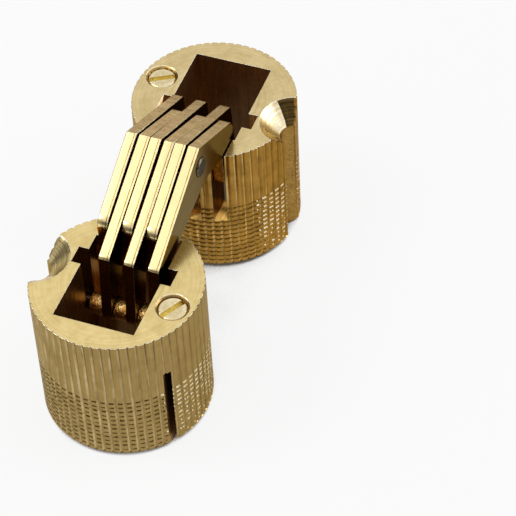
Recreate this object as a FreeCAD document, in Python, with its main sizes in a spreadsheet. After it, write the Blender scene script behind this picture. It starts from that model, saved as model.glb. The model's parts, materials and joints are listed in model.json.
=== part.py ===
import FreeCAD, Part
import math
import os
import types
import Sketcher
from FreeCAD import Placement, Rotation, Vector

# Invisible barrel hinge, fully open, in millimetres.
# Two knurled brass barrels stand side by side on their back ends. Six stamped
# leaves bridge them: three are pinned in the front barrel, three in the rear
# one, and all six cross on one centre pin, like the blades of scissors. The far
# end of each leaf carries a slide pin, which runs in guides inside the other
# barrel. The hinge is alike under a half turn about its middle upright axis, so
# the rear barrel and its leaves are the front ones turned half round.
#
# X runs from the front barrel to the rear barrel, Y along the pins, Z up.
# The origin lies midway between the barrels, at the level of their back ends.

SIZES = {
    # Barrels
    "barrel_diameter": 24.0,
    "barrel_height": 23.0,
    "axis_distance": 37.0,
    "back_chamfer": 0.8,
    "dish_depth": 0.5,
    "dish_diameter": 19.0,
    "dish_slope": 0.9,
    "flute_count": 62,
    "flute_width": 0.55,
    "flute_depth": 0.2,
    # Pocket, guides and comb, measured from the barrel's axis and its face
    "pocket_far": 8.15,
    "pocket_near": 7.0,
    "pocket_width": 11.6,
    "guide_offset": 2.8,
    "guide_width": 2.85,
    "guide_depth": 1.45,
    "relief_offset": 5.2,
    "relief_depth": 1.3,
    "relief_clearance": 0.2,
    "comb_slot_depth": 13.0,
    "comb_overrun": 1.0,
    "rib_drop": 1.6,
    "side_clearance": 0.15,
    # Clamp: saw cut, screw hole and screw, with insets from the barrel's side
    "slit_inset": 2.4,
    "slit_width": 0.75,
    "slit_height": 15.4,
    "clamp_offset": 2.0,
    "clamp_inset": 3.1,
    "clamp_screw_diameter": 4.1,
    "clamp_screw_length": 7.6,
    "clamp_cone_length": 1.5,
    "clamp_tip_diameter": 0.8,
    "clamp_slot_width": 0.8,
    "clamp_slot_depth": 1.0,
    "clamp_edge": 0.2,
    "clamp_sink": 0.25,
    "clamp_ring_diameter": 4.7,
    "clamp_clearance": 0.05,
    "front_clamp_turn": -30.0,
    "rear_clamp_turn": -61.0,
    # Groove for a wood screw, whose axis lies just outside the barrel's side
    "groove_offset": 0.8,
    "groove_outset": 0.4,
    "groove_radius": 2.0,
    "countersink_radius": 4.9,
    # Leaves: the corner and knee are placed from the barrel's axis, the arch from the
    # middle, the notch and shoulder from the pivot, and all heights from the face
    "leaf_thickness": 1.55,
    "pair_gap": 0.1,
    "wide_gap": 0.4,
    "apex_height": 9.2,
    "corner_offset": 2.1,
    "corner_height": 1.35,
    "corner_round": 0.8,
    "knee_offset": 6.3,
    "knee_drop": 1.1,
    "knee_round": 1.6,
    "arch_offset": 1.2,
    "arch_height": 1.95,
    "arch_round": 8.0,
    "notch_reach": 2.1,
    "notch_height": 0.1,
    "notch_round": 0.7,
    "shoulder_reach": 2.5,
    "shoulder_height": 3.1,
    "shoulder_round": 2.0,
    "slide_end_radius": 1.75,
    "pivot_end_radius": 1.8,
    # Linkage
    "pivot_offset": 8.8,
    "pivot_drop": 4.7,
    "centre_rise": 5.6,
    "closed_gap": 0.2,
    # Pins and spacers
    "centre_pin_diameter": 3.0,
    "centre_pin_proud": 0.25,
    "pivot_pin_diameter": 1.9,
    "pivot_pin_seat": 0.4,
    "slide_pin_diameter": 2.2,
    "slide_pin_end_gap": 0.35,
    "rivet_edge": 0.2,
    "spacer_diameter": 3.3,
    "spacer_end_gap": 0.05,
    "running_clearance": 0.05,
}

PATH_STEPS = 60
NEWTON_STEPS = 60
NEWTON_STRIDE = 1e-6
SAME_PLACE = 0.01


# Linkage, in a barrel's own side plane: x towards the other barrel, y up, face at 0


def turn_between(centre_open, centre_closed, end_open, end_closed):
    """Angle in radians that the line from the centre pin to a leaf's end turns."""
    before = math.atan2(end_open[1] - centre_open[1], end_open[0] - centre_open[0])
    after = math.atan2(end_closed[1] - centre_closed[1], end_closed[0] - centre_closed[0])
    return (after - before) % (2 * math.pi)


def linkage_misfit(s, unknown):
    """How far a trial misses: both arm lengths and the angle between them stay the same."""
    centre_x, slide_open, slide_closed = unknown
    pivot = (s["pivot_offset"], -s["pivot_drop"])
    centre_open = (s["axis_distance"] / 2, s["centre_rise"])
    centre_closed = (centre_x, s["closed_gap"] / 2)
    end_open = (s["guide_offset"], -slide_open)
    end_closed = (s["guide_offset"], -slide_closed)
    turn = turn_between(centre_open, centre_closed, pivot, pivot)
    turn += turn_between(centre_open, centre_closed, end_open, end_closed)
    return Vector(
        math.dist(pivot, centre_open) - math.dist(pivot, centre_closed),
        math.dist(end_open, centre_open) - math.dist(end_closed, centre_closed),
        turn - math.pi,
    )


def solve_linkage(s):
    """Centre pin's place when closed, and the slide pin's depth open and closed."""
    unknown = Vector(-s["barrel_diameter"] / 6, 0.4 * s["barrel_height"], 0.88 * s["barrel_height"])
    for _ in range(NEWTON_STEPS):
        base = linkage_misfit(s, unknown)
        columns = []
        for stride in (Vector(NEWTON_STRIDE, 0, 0), Vector(0, NEWTON_STRIDE, 0), Vector(0, 0, NEWTON_STRIDE)):
            columns.append((linkage_misfit(s, unknown + stride) - base) / NEWTON_STRIDE)
        slope = FreeCAD.Matrix(
            columns[0].x, columns[1].x, columns[2].x, 0,
            columns[0].y, columns[1].y, columns[2].y, 0,
            columns[0].z, columns[1].z, columns[2].z, 0,
        )
        unknown = unknown - slope.inverse().multVec(base)
    return unknown


def work_out(s):
    """Linkage sizes that follow from the driving sizes.

    A leaf's short arm turns evenly about its pivot, and the leaves of the other
    set turn in a fixed ratio to it. The slide pin then meets its straight guide
    at both ends of the fold and lies beside it in between, inside the relief.
    """
    centre_x, slide_open, slide_closed = solve_linkage(s)
    pivot = (s["pivot_offset"], -s["pivot_drop"])
    centre_open = (s["axis_distance"] / 2, s["centre_rise"])
    centre_closed = (centre_x, s["closed_gap"] / 2)
    end_open = (s["guide_offset"], -slide_open)
    end_closed = (s["guide_offset"], -slide_closed)
    short_turn = math.degrees(turn_between(centre_open, centre_closed, pivot, pivot))
    long_turn = math.degrees(turn_between(centre_open, centre_closed, end_open, end_closed))
    arm = Vector(*centre_open) - Vector(*pivot)
    leaf = Vector(*end_open) - Vector(*centre_open)
    relief_centre = Vector(s["guide_offset"] + s["relief_offset"], -(slide_open + slide_closed) / 2)
    reach = 0.0
    for k in range(PATH_STEPS + 1):
        share = k / PATH_STEPS
        centre = Vector(*pivot) + Rotation(Vector(0, 0, 1), short_turn * share).multVec(arm)
        slide = centre + Rotation(Vector(0, 0, 1), long_turn * share).multVec(leaf)
        reach = max(reach, (slide - relief_centre).Length)
    return {
        "slide_drop": slide_open,
        "slide_drop_closed": slide_closed,
        "relief_reach": reach,
        "short_turn": short_turn,
        "long_turn": long_turn,
    }


# Sizes in the sheet


class Size:
    """A size that carries its number and the sheet formula behind it."""

    def __init__(self, number, formula):
        self.number = number
        self.formula = formula

    def __add__(self, other):
        other = as_size(other)
        return Size(self.number + other.number, "(%s + %s)" % (self.formula, other.formula))

    def __sub__(self, other):
        other = as_size(other)
        return Size(self.number - other.number, "(%s - %s)" % (self.formula, other.formula))

    def __mul__(self, other):
        other = as_size(other)
        return Size(self.number * other.number, "(%s * %s)" % (self.formula, other.formula))

    def __truediv__(self, other):
        other = as_size(other)
        return Size(self.number / other.number, "(%s / %s)" % (self.formula, other.formula))

    def __neg__(self):
        return as_size(0) - self


def as_size(value):
    """A plain number as a size with itself as formula."""
    if isinstance(value, Size):
        return value
    return Size(float(value), repr(float(value)))


def fill_sheet(sheet, values):
    """Write each value into the sheet and give back the sizes by name."""
    sizes = types.SimpleNamespace()
    for row, (alias, value) in enumerate(values.items(), start=1):
        sheet.set("A%d" % row, alias.replace("_", " "))
        sheet.set("B%d" % row, repr(value))
        sheet.setAlias("B%d" % row, alias)
        setattr(sizes, alias, Size(value, "%s.%s" % (sheet.Name, alias)))
    return sizes


document = FreeCAD.newDocument("BarrelHinge")
sheet = document.addObject("Spreadsheet::Sheet", "Sizes")
d = fill_sheet(sheet, {**SIZES, **work_out(SIZES)})
document.recompute()

half_distance = d.axis_distance / 2
barrel_radius = d.barrel_diameter / 2
pocket_half = d.pocket_width / 2
leaf_pitch = d.leaf_thickness * 2 + d.pair_gap + d.wide_gap
leaf_level = d.barrel_height + d.centre_rise
pivot_level = d.barrel_height - d.pivot_drop
slide_level = d.barrel_height - d.slide_drop
guide_half = pocket_half + d.guide_depth

# Y of the middle of each leaf, counted from +Y. The gaps between 1 and 2, 3
# and 4, 5 and 6 are wide, and the other two are narrow.
inner_layer = (d.wide_gap + d.leaf_thickness) / 2
middle_layer = leaf_pitch - inner_layer
outer_layer = leaf_pitch + inner_layer
LAYERS = {
    1: outer_layer,
    2: middle_layer,
    3: inner_layer,
    4: -inner_layer,
    5: -middle_layer,
    6: -outer_layer,
}

NODES = []


# Helpers for bodies and sketches


def bind(thing, prop, size):
    """Tie a property to the sheet."""
    thing.setExpression(prop, as_size(size).formula)


def new_body(name):
    """Body that becomes the node of the same name."""
    body = document.addObject("PartDesign::Body", name)
    body.Label = name
    NODES.append(body)
    return body


def origin_plane(body, role):
    """One of the body's own origin planes."""
    return [item for item in body.Origin.OriginFeatures if item.Role == role][0]


def new_sketch(body, name, plane, lift=None):
    """Sketch on one of the body's own origin planes, lifted along its normal."""
    sketch = body.newObject("Sketcher::SketchObject", name)
    sketch.AttachmentSupport = [(origin_plane(body, plane), "")]
    sketch.MapMode = "FlatFace"
    if lift is not None:
        bind(sketch, "AttachmentOffset.Base.z", lift)
    return sketch


def constrain(sketch, size, *parts):
    """Give the sketch a dimension that is tied to the sheet."""
    index = sketch.addConstraint(Sketcher.Constraint(*parts, as_size(size).number))
    bind(sketch, "Constraints[%d]" % index, size)


def pin_down(sketch, across, along, geometry, point):
    """Fix a point of the sketch at its distances from the sketch's origin."""
    constrain(sketch, across, "DistanceX", -1, 1, geometry, point)
    constrain(sketch, along, "DistanceY", -1, 1, geometry, point)


def add_polygon(sketch, corners):
    """Closed run of straight edges through the corners."""
    points = [Vector(as_size(across).number, as_size(along).number, 0) for across, along in corners]
    count = len(points)
    for k in range(count):
        sketch.addGeometry(Part.LineSegment(points[k], points[(k + 1) % count]))
    for k in range(count):
        sketch.addConstraint(Sketcher.Constraint("Coincident", k, 2, (k + 1) % count, 1))
    for k, (across, along) in enumerate(corners):
        pin_down(sketch, across, along, k, 1)


def add_box(sketch, low, high):
    """Rectangle between two opposite corners."""
    add_polygon(sketch, [low, (high[0], low[1]), high, (low[0], high[1])])


def add_circle(sketch, across, along, radius):
    """Circle about a fixed point."""
    centre = Vector(as_size(across).number, as_size(along).number, 0)
    index = sketch.addGeometry(Part.Circle(centre, Vector(0, 0, 1), radius.number))
    pin_down(sketch, across, along, index, 3)
    constrain(sketch, radius, "Radius", index)


def pad(body, sketch, name, length):
    """Add material, half of it on each side of the sketch."""
    feature = body.newObject("PartDesign::Pad", name)
    feature.Profile = sketch
    feature.Midplane = True
    bind(feature, "Length", length)
    document.recompute()
    return feature


def check_cut(body, name, before):
    """A cut that takes nothing away is a mistake."""
    if body.Shape.Volume > before - SAME_PLACE:
        raise RuntimeError("%s cuts nothing from %s" % (name, body.Label))


def pocket(body, sketch, name, length=None, both_sides=False, upward=False):
    """Take material away, through everything where no length is given."""
    before = body.Shape.Volume
    feature = body.newObject("PartDesign::Pocket", name)
    feature.Profile = sketch
    feature.Midplane = both_sides
    feature.Reversed = upward
    if length is None:
        feature.Type = "ThroughAll"
    else:
        bind(feature, "Length", length)
    document.recompute()
    check_cut(body, name, before)
    return feature


def bore(body, name, place, radius_low, radius_high, length):
    """Take away a cylinder or cone that stands on its lower end."""
    before = body.Shape.Volume
    straight = radius_low is radius_high
    kind = "PartDesign::SubtractiveCylinder" if straight else "PartDesign::SubtractiveCone"
    feature = body.newObject(kind, name)
    feature.AttachmentSupport = [(origin_plane(body, "XY_Plane"), "")]
    feature.MapMode = "FlatFace"
    if straight:
        bind(feature, "Radius", radius_low)
    else:
        bind(feature, "Radius1", radius_low)
        bind(feature, "Radius2", radius_high)
    bind(feature, "Height", length)
    for name_of_axis, size in zip("xyz", place):
        bind(feature, "AttachmentOffset.Base." + name_of_axis, size)
    document.recompute()
    check_cut(body, name, before)


def revolve(body, sketch, name):
    """Turn a profile in the XZ plane once round the Z axis."""
    feature = body.newObject("PartDesign::Revolution", name)
    feature.Profile = sketch
    feature.ReferenceAxis = (sketch, ["V_Axis"])
    feature.Angle = 360.0
    document.recompute()
    return feature


def place(body, across, along, level, rotation=Rotation()):
    """Seat a finished piece in the hinge."""
    body.Placement = Placement(Vector(0, 0, 0), rotation)
    for name_of_axis, size in zip("xyz", (across, along, level)):
        bind(body, "Placement.Base." + name_of_axis, size)


HALF_TURN = Rotation(Vector(0, 0, 1), 180)
ALONG_Y = Rotation(Vector(1, 0, 0), -90)


# Barrels


def turn_blank(body):
    """Turned blank with a chamfered back rim and a shallow dish in the back end."""
    profile = new_sketch(body, "blank_profile", "XZ_Plane")
    dish_radius = d.dish_diameter / 2
    add_polygon(profile, [
        (0, d.dish_depth),
        (dish_radius - d.dish_slope, d.dish_depth),
        (dish_radius, 0),
        (barrel_radius - d.back_chamfer, 0),
        (barrel_radius, d.back_chamfer),
        (barrel_radius, d.barrel_height),
        (0, d.barrel_height),
    ])
    revolve(body, profile, "blank")


def knurl(body):
    """Straight knurl: V-shaped flutes from the chamfer to the face, with lands between them."""
    before = body.Shape.Volume
    section = new_sketch(body, "flute_section", "XY_Plane", d.back_chamfer)
    flute_half = d.flute_width / 2
    add_polygon(section, [
        (barrel_radius - d.flute_depth, 0),
        (barrel_radius + d.flute_depth, -flute_half * 2),
        (barrel_radius + d.flute_depth, flute_half * 2),
    ])
    flute = body.newObject("PartDesign::Pocket", "flute")
    flute.Profile = section
    flute.Type = "ThroughAll"
    flute.Reversed = True
    document.recompute()
    ring = body.newObject("PartDesign::PolarPattern", "flutes")
    ring.Originals = [flute]
    ring.Axis = (section, ["N_Axis"])
    ring.Angle = 360.0
    bind(ring, "Occurrences", d.flute_count)
    body.Tip = ring
    document.recompute()
    check_cut(body, "knurl", before)


def mill_pocket(body):
    """Pocket for the leaves, with the guides in its side walls."""
    hollow = new_sketch(body, "pocket_outline", "XY_Plane", d.barrel_height)
    add_box(hollow, (-d.pocket_far, -pocket_half), (d.pocket_near, pocket_half))
    pocket(body, hollow, "leaf_pocket")
    guides = new_sketch(body, "guide_outline", "XY_Plane", d.barrel_height)
    guide_left = d.guide_offset - d.guide_width / 2
    guide_right = d.guide_offset + d.guide_width / 2
    add_box(guides, (guide_left, -guide_half), (guide_right, guide_half))
    pocket(body, guides, "slide_guides")


def mill_comb(body):
    """Comb between pocket and side: slots for leaves 1, 3 and 5, and ribs between them."""
    start = d.pocket_near - d.comb_overrun
    finish = barrel_radius + d.comb_overrun
    slot_half = d.leaf_thickness / 2 + d.side_clearance
    ledge = new_sketch(body, "rib_top_outline", "XY_Plane", d.barrel_height)
    add_box(ledge, (start, -pocket_half), (finish, LAYERS[1] + slot_half))
    pocket(body, ledge, "rib_tops", d.rib_drop)
    for number in (1, 3, 5):
        slot = new_sketch(body, "comb_slot_outline_%d" % number, "XY_Plane", d.barrel_height)
        add_box(slot, (start, LAYERS[number] - slot_half), (finish, LAYERS[number] + slot_half))
        pocket(body, slot, "comb_slot_%d" % number, d.comb_slot_depth)


def mill_relief(body):
    """Bow-shaped recess beside each guide, hidden in the pocket's side walls."""
    sketch = new_sketch(body, "relief_section", "XZ_Plane")
    centre_x = d.guide_offset + d.relief_offset
    centre_z = d.barrel_height - (d.slide_drop + d.slide_drop_closed) / 2
    radius = d.relief_reach + d.slide_pin_diameter / 2 + d.relief_clearance
    spread = math.acos(d.relief_offset.number / radius.number)
    circle = Part.Circle(Vector(centre_x.number, centre_z.number, 0), Vector(0, 0, 1), radius.number)
    bow = Part.ArcOfCircle(circle, math.pi - spread, math.pi + spread)
    sketch.addGeometry(bow)
    sketch.addGeometry(Part.LineSegment(bow.EndPoint, bow.StartPoint))
    sketch.addConstraint(Sketcher.Constraint("Coincident", 0, 2, 1, 1))
    sketch.addConstraint(Sketcher.Constraint("Coincident", 0, 1, 1, 2))
    pin_down(sketch, centre_x, centre_z, 0, 3)
    constrain(sketch, radius, "Radius", 0)
    constrain(sketch, d.guide_offset, "DistanceX", -1, 1, 1, 1)
    constrain(sketch, d.guide_offset, "DistanceX", -1, 1, 1, 2)
    pocket(body, sketch, "guide_relief", d.pocket_width + d.relief_depth * 2, both_sides=True)


def drill_pivot(body):
    """Closed cross hole for the pivot pin, through the ribs into both side walls."""
    section = new_sketch(body, "pivot_hole_section", "XZ_Plane")
    add_circle(section, d.pivot_offset, pivot_level, d.pivot_pin_diameter / 2)
    pocket(body, section, "pivot_hole", d.pocket_width + d.pivot_pin_seat * 2, both_sides=True)


def cut_clamp(body):
    """Saw cut from the back end, and the hole of the screw that spreads it."""
    beyond = barrel_radius + d.comb_overrun
    cut = new_sketch(body, "slit_outline", "XY_Plane")
    slit_low = d.slit_inset - barrel_radius - d.slit_width / 2
    slit_high = d.slit_inset - barrel_radius + d.slit_width / 2
    add_box(cut, (-beyond, slit_low), (beyond, slit_high))
    pocket(body, cut, "slit", d.slit_height, upward=True)
    screw_radius = d.clamp_screw_diameter / 2 + d.clamp_clearance
    tip_radius = d.clamp_tip_diameter / 2 + d.clamp_clearance
    bore_depth = d.clamp_sink + d.clamp_screw_length
    bore_floor = d.barrel_height - bore_depth
    cone_floor = bore_floor - d.clamp_cone_length
    ring_depth = d.clamp_ring_diameter / 2 - screw_radius
    ring_floor = d.barrel_height - ring_depth
    ring_radius = d.clamp_ring_diameter / 2
    clamp_y = d.clamp_inset - barrel_radius
    bore(body, "clamp_bore", (-d.clamp_offset, clamp_y, bore_floor),
         screw_radius, screw_radius, bore_depth)
    bore(body, "clamp_seat", (-d.clamp_offset, clamp_y, cone_floor),
         tip_radius, screw_radius, d.clamp_cone_length)
    bore(body, "clamp_ring", (-d.clamp_offset, clamp_y, ring_floor),
         screw_radius, ring_radius, ring_depth)


def cut_screw_groove(body):
    """Half-round channel for a wood screw, with a countersink at the face."""
    channel = new_sketch(body, "groove_section", "XY_Plane")
    groove_y = barrel_radius + d.groove_outset
    add_circle(channel, d.groove_offset, groove_y, d.groove_radius)
    pocket(body, channel, "screw_groove", both_sides=True)
    sink_depth = d.countersink_radius - d.groove_radius
    bore(body, "countersink", (d.groove_offset, groove_y, d.barrel_height - sink_depth),
         d.groove_radius, d.countersink_radius, sink_depth)


def make_barrel(name, side, rotation):
    """One barrel; the rear one is the front one turned half round."""
    body = new_body(name)
    turn_blank(body)
    drill_pivot(body)
    mill_pocket(body)
    mill_comb(body)
    mill_relief(body)
    cut_clamp(body)
    cut_screw_groove(body)
    knurl(body)
    place(body, half_distance * side, 0, 0, rotation)


# Leaves, drawn about the centre pin with the long arm to the left


def tangent_point(point, centre, radius, outgoing):
    """Where a straight edge through a point meets a round end that lies on its left."""
    reach = centre - point
    swing = math.degrees(math.asin(radius / reach.Length))
    heading = Rotation(Vector(0, 0, 1), swing if outgoing else -swing).multVec(reach)
    return point + heading.normalize() * math.sqrt(reach.Length ** 2 - radius ** 2)


def add_outline(sketch, points):
    """Closed outline of corners and round ends, counter-clockwise.

    A point with a third size is the centre of a round end of that radius, to
    which the edges on both sides are tangent. Its neighbours are corners.
    """
    count = len(points)
    spots = [Vector(as_size(point[0]).number, as_size(point[1]).number, 0) for point in points]
    edges = []
    for k in range(count):
        after = (k + 1) % count
        start = spots[k]
        finish = spots[after]
        if len(points[k]) == 3:
            start = tangent_point(spots[after], spots[k], points[k][2].number, True)
        if len(points[after]) == 3:
            finish = tangent_point(spots[k], spots[after], points[after][2].number, False)
        edges.append(sketch.addGeometry(Part.LineSegment(start, finish)))
    for k, point in enumerate(points):
        edge_in = edges[k - 1]
        edge_out = edges[k]
        if len(point) == 2:
            sketch.addConstraint(Sketcher.Constraint("Coincident", edge_in, 2, edge_out, 1))
            pin_down(sketch, point[0], point[1], edge_out, 1)
            continue
        arrive = sketch.Geometry[edge_in].EndPoint - spots[k]
        leave = sketch.Geometry[edge_out].StartPoint - spots[k]
        circle = Part.Circle(spots[k], Vector(0, 0, 1), point[2].number)
        first_angle = math.atan2(arrive.y, arrive.x)
        last_angle = math.atan2(leave.y, leave.x)
        arc = sketch.addGeometry(Part.ArcOfCircle(circle, first_angle, last_angle))
        sketch.addConstraint(Sketcher.Constraint("Tangent", edge_in, 2, arc, 1))
        sketch.addConstraint(Sketcher.Constraint("Tangent", arc, 2, edge_out, 1))
        pin_down(sketch, point[0], point[1], arc, 3)
        constrain(sketch, point[2], "Radius", arc)


def edges_at(shape, across, along):
    """Names of the edges that run through the leaf's thickness at one corner."""
    names = []
    for index, edge in enumerate(shape.Edges, start=1):
        ends = [vertex.Point for vertex in edge.Vertexes]
        at_corner = all(math.hypot(end.x - across, end.z - along) < SAME_PLACE for end in ends)
        if len(ends) == 2 and at_corner:
            names.append("Edge%d" % index)
    return names


def make_leaf(number):
    """One stamped leaf; the odd ones are the same stamping turned half round."""
    body = new_body("leaf_%d" % number)
    slide_x = d.guide_offset - half_distance
    slide_z = -d.slide_drop - d.centre_rise
    pivot_x = half_distance - d.pivot_offset
    pivot_z = -d.pivot_drop - d.centre_rise
    corner = (d.corner_offset - half_distance, d.corner_height - d.centre_rise)
    knee = (d.knee_offset - half_distance, -d.knee_drop - d.centre_rise)
    arch = (d.arch_offset, d.arch_height - d.centre_rise)
    notch = (pivot_x - d.notch_reach, d.notch_height - d.centre_rise)
    shoulder = (pivot_x + d.shoulder_reach, d.shoulder_height - d.centre_rise)
    outline = new_sketch(body, "leaf_outline", "XZ_Plane")
    add_outline(outline, [
        (0, d.apex_height - d.centre_rise),
        corner,
        (slide_x, slide_z, d.slide_end_radius),
        knee,
        arch,
        notch,
        (pivot_x, pivot_z, d.pivot_end_radius),
        shoulder,
    ])
    solid = pad(body, outline, "stamping", d.leaf_thickness)
    rounds = [
        ("corner_fillet", corner, d.corner_round),
        ("knee_fillet", knee, d.knee_round),
        ("arch_fillet", arch, d.arch_round),
        ("notch_fillet", notch, d.notch_round),
        ("shoulder_fillet", shoulder, d.shoulder_round),
    ]
    for name, (across, along), radius in rounds:
        names = edges_at(solid.Shape, across.number, along.number)
        fillet = body.newObject("PartDesign::Fillet", name)
        fillet.Base = (solid, names)
        bind(fillet, "Radius", radius)
        document.recompute()
        solid = fillet
    turned = number % 2 == 1
    centre_radius = d.centre_pin_diameter / 2
    if not turned:
        centre_radius = centre_radius + d.running_clearance
    holes = [
        ("centre_hole", 0, 0, centre_radius),
        ("slide_hole", slide_x, slide_z, d.slide_pin_diameter / 2),
        ("pivot_hole", pivot_x, pivot_z, d.pivot_pin_diameter / 2 + d.running_clearance),
    ]
    for name, across, along, radius in holes:
        section = new_sketch(body, name + "_section", "XZ_Plane")
        add_circle(section, across, along, radius)
        pocket(body, section, name, both_sides=True)
    place(body, 0, LAYERS[number], leaf_level, HALF_TURN if turned else Rotation())


# Pins, rivet, spacers and screws


def make_pin(name, across, level, diameter, length):
    """Steel pin along Y, cropped square from drawn wire."""
    body = new_body(name)
    profile = new_sketch(body, "pin_profile", "XZ_Plane")
    add_box(profile, (0, -length / 2), (diameter / 2, length / 2))
    revolve(body, profile, "drawn_pin")
    place(body, across, 0, level, ALONG_Y)


def make_rivet(name, level, diameter, length):
    """Centre pin, whose ends show: a drawn pin with its edges broken."""
    body = new_body(name)
    profile = new_sketch(body, "rivet_profile", "XZ_Plane")
    radius = diameter / 2
    end = length / 2
    add_polygon(profile, [
        (0, -end),
        (radius - d.rivet_edge, -end),
        (radius, d.rivet_edge - end),
        (radius, end - d.rivet_edge),
        (radius - d.rivet_edge, end),
        (0, end),
    ])
    revolve(body, profile, "turned_rivet")
    place(body, 0, 0, level, ALONG_Y)


def make_spacer(name, across, along):
    """Brass ring that keeps two leaves apart on a slide pin."""
    body = new_body(name)
    profile = new_sketch(body, "ring_profile", "XZ_Plane")
    bore_radius = d.slide_pin_diameter / 2 + d.running_clearance
    half_length = (leaf_pitch - d.leaf_thickness) / 2 - d.spacer_end_gap
    add_box(profile, (bore_radius, -half_length), (d.spacer_diameter / 2, half_length))
    revolve(body, profile, "ring")
    place(body, across, along, slide_level, ALONG_Y)


def make_clamp_screw(name, side, turn):
    """Slotted screw whose cone spreads the saw cut of its barrel."""
    body = new_body(name)
    radius = d.clamp_screw_diameter / 2
    profile = new_sketch(body, "screw_profile", "XZ_Plane")
    add_polygon(profile, [
        (0, -d.clamp_screw_length - d.clamp_cone_length),
        (d.clamp_tip_diameter / 2, -d.clamp_screw_length - d.clamp_cone_length),
        (radius, -d.clamp_screw_length),
        (radius, -d.clamp_edge),
        (radius - d.clamp_edge, 0),
        (0, 0),
    ])
    revolve(body, profile, "turned_screw")
    slot = new_sketch(body, "driver_slot_outline", "XY_Plane")
    slot_half = d.clamp_slot_width / 2
    add_box(slot, (-d.clamp_screw_diameter, -slot_half), (d.clamp_screw_diameter, slot_half))
    pocket(body, slot, "driver_slot", d.clamp_slot_depth)
    across = (half_distance + d.clamp_offset) * side
    along = (barrel_radius - d.clamp_inset) * side
    place(body, across, along, d.barrel_height - d.clamp_sink, Rotation(Vector(0, 0, 1), turn.number))


FRONT = -1
REAR = 1

make_barrel("front_barrel", FRONT, Rotation())
make_barrel("rear_barrel", REAR, HALF_TURN)
for leaf_number in LAYERS:
    make_leaf(leaf_number)

stack_width = outer_layer * 2 + d.leaf_thickness
make_rivet("centre_pin", leaf_level, d.centre_pin_diameter, stack_width + d.centre_pin_proud * 2)
for word, side in (("front", FRONT), ("rear", REAR)):
    pivot_length = d.pocket_width + d.pivot_pin_seat * 2
    slide_length = guide_half * 2 - d.slide_pin_end_gap * 2
    slide_across = (half_distance - d.guide_offset) * side
    pivot_across = (half_distance - d.pivot_offset) * side
    make_pin(word + "_pivot_pin", pivot_across, pivot_level, d.pivot_pin_diameter, pivot_length)
    make_pin(word + "_slide_pin", slide_across, slide_level, d.slide_pin_diameter, slide_length)
    for number in (1, 2, 3):
        from_middle_gap = (middle_layer - inner_layer) / 2 + leaf_pitch * (2 - number)
        make_spacer("%s_spacer_%d" % (word, number), slide_across, from_middle_gap * -side)
make_clamp_screw("front_clamp_screw", FRONT, d.front_clamp_turn)
make_clamp_screw("rear_clamp_screw", REAR, d.rear_clamp_turn)
document.recompute()


# Check everything, then write one file for each piece

for item in document.Objects:
    if "Invalid" in item.State or "Error" in item.State:
        raise RuntimeError("%s failed: %s" % (item.Label, item.State))
for body in NODES:
    if body.Shape.isNull() or not body.Shape.isValid():
        raise RuntimeError("%s has no valid shape" % body.Label)
    if len(body.Shape.Solids) != 1:
        raise RuntimeError("%s is not one solid" % body.Label)

os.makedirs("parts", exist_ok=True)
for body in NODES:
    body.Shape.exportStep("parts/%s.step" % body.Label)
    print("%-18s %9.2f mm3" % (body.Label, body.Shape.Volume))

print("slide pin depth open %.3f, closed %.3f" % (d.slide_drop.number, d.slide_drop_closed.number))
print("short arm turns %.4f, long arm turns %.4f" % (d.short_turn.number, d.long_turn.number))
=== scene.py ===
# %% [markdown]
# # An invisible barrel hinge in brass
# Two knurled brass barrels are joined by six stamped leaves, so that the hinge
# disappears into two drilled holes when the door is shut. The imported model
# already has every solid at its real size, so this lesson is about finish: the
# broken edges, the marks pressed across the knurl, and the brasses and steels
# that each piece is made of. The frame is loaded first, because all sizes and
# places below are read from it.

# %% Load the frame
import json
import math

import bmesh
import bpy
import numpy as np
from mathutils import Matrix, Vector

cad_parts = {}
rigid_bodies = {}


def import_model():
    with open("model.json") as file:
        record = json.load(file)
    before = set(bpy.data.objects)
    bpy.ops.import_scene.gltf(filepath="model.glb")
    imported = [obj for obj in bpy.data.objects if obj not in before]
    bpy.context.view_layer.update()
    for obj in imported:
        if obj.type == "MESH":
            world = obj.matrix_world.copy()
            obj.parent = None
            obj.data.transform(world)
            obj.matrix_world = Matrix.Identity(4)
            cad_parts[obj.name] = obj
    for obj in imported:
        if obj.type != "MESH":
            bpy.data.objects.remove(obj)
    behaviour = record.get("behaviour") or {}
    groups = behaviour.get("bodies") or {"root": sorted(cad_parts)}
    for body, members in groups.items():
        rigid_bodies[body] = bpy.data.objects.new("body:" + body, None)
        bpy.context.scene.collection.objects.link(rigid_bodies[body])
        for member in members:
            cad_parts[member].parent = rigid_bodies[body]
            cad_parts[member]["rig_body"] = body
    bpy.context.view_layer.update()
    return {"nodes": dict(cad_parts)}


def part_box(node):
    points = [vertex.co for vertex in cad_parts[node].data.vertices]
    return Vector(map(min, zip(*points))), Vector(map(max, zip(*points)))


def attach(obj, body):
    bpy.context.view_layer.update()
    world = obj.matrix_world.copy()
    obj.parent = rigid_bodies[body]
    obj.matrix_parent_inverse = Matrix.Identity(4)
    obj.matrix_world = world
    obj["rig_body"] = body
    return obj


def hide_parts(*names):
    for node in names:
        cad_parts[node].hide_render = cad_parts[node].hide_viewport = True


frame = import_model()
MM = 0.001
print("loaded", len(frame["nodes"]), "solids")

# %% [markdown]
# ## Main sizes
# A barrel is a cylinder, so its box gives its radius, its height and how far
# its axis stands from the middle. The rear barrel is the front one turned half
# round, and a sign tells the two apart.

# %% Read the main sizes
front_low, front_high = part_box("front_barrel")
BARREL_RADIUS = (front_high.x - front_low.x) / 2 / MM
BARREL_HEIGHT = front_high.z / MM
HALF_DISTANCE = -(front_high.x + front_low.x) / 2 / MM
BARREL_SIGNS = {"front": -1, "rear": 1}
print("barrel radius %.2f mm, height %.2f mm" % (BARREL_RADIUS, BARREL_HEIGHT))

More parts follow.
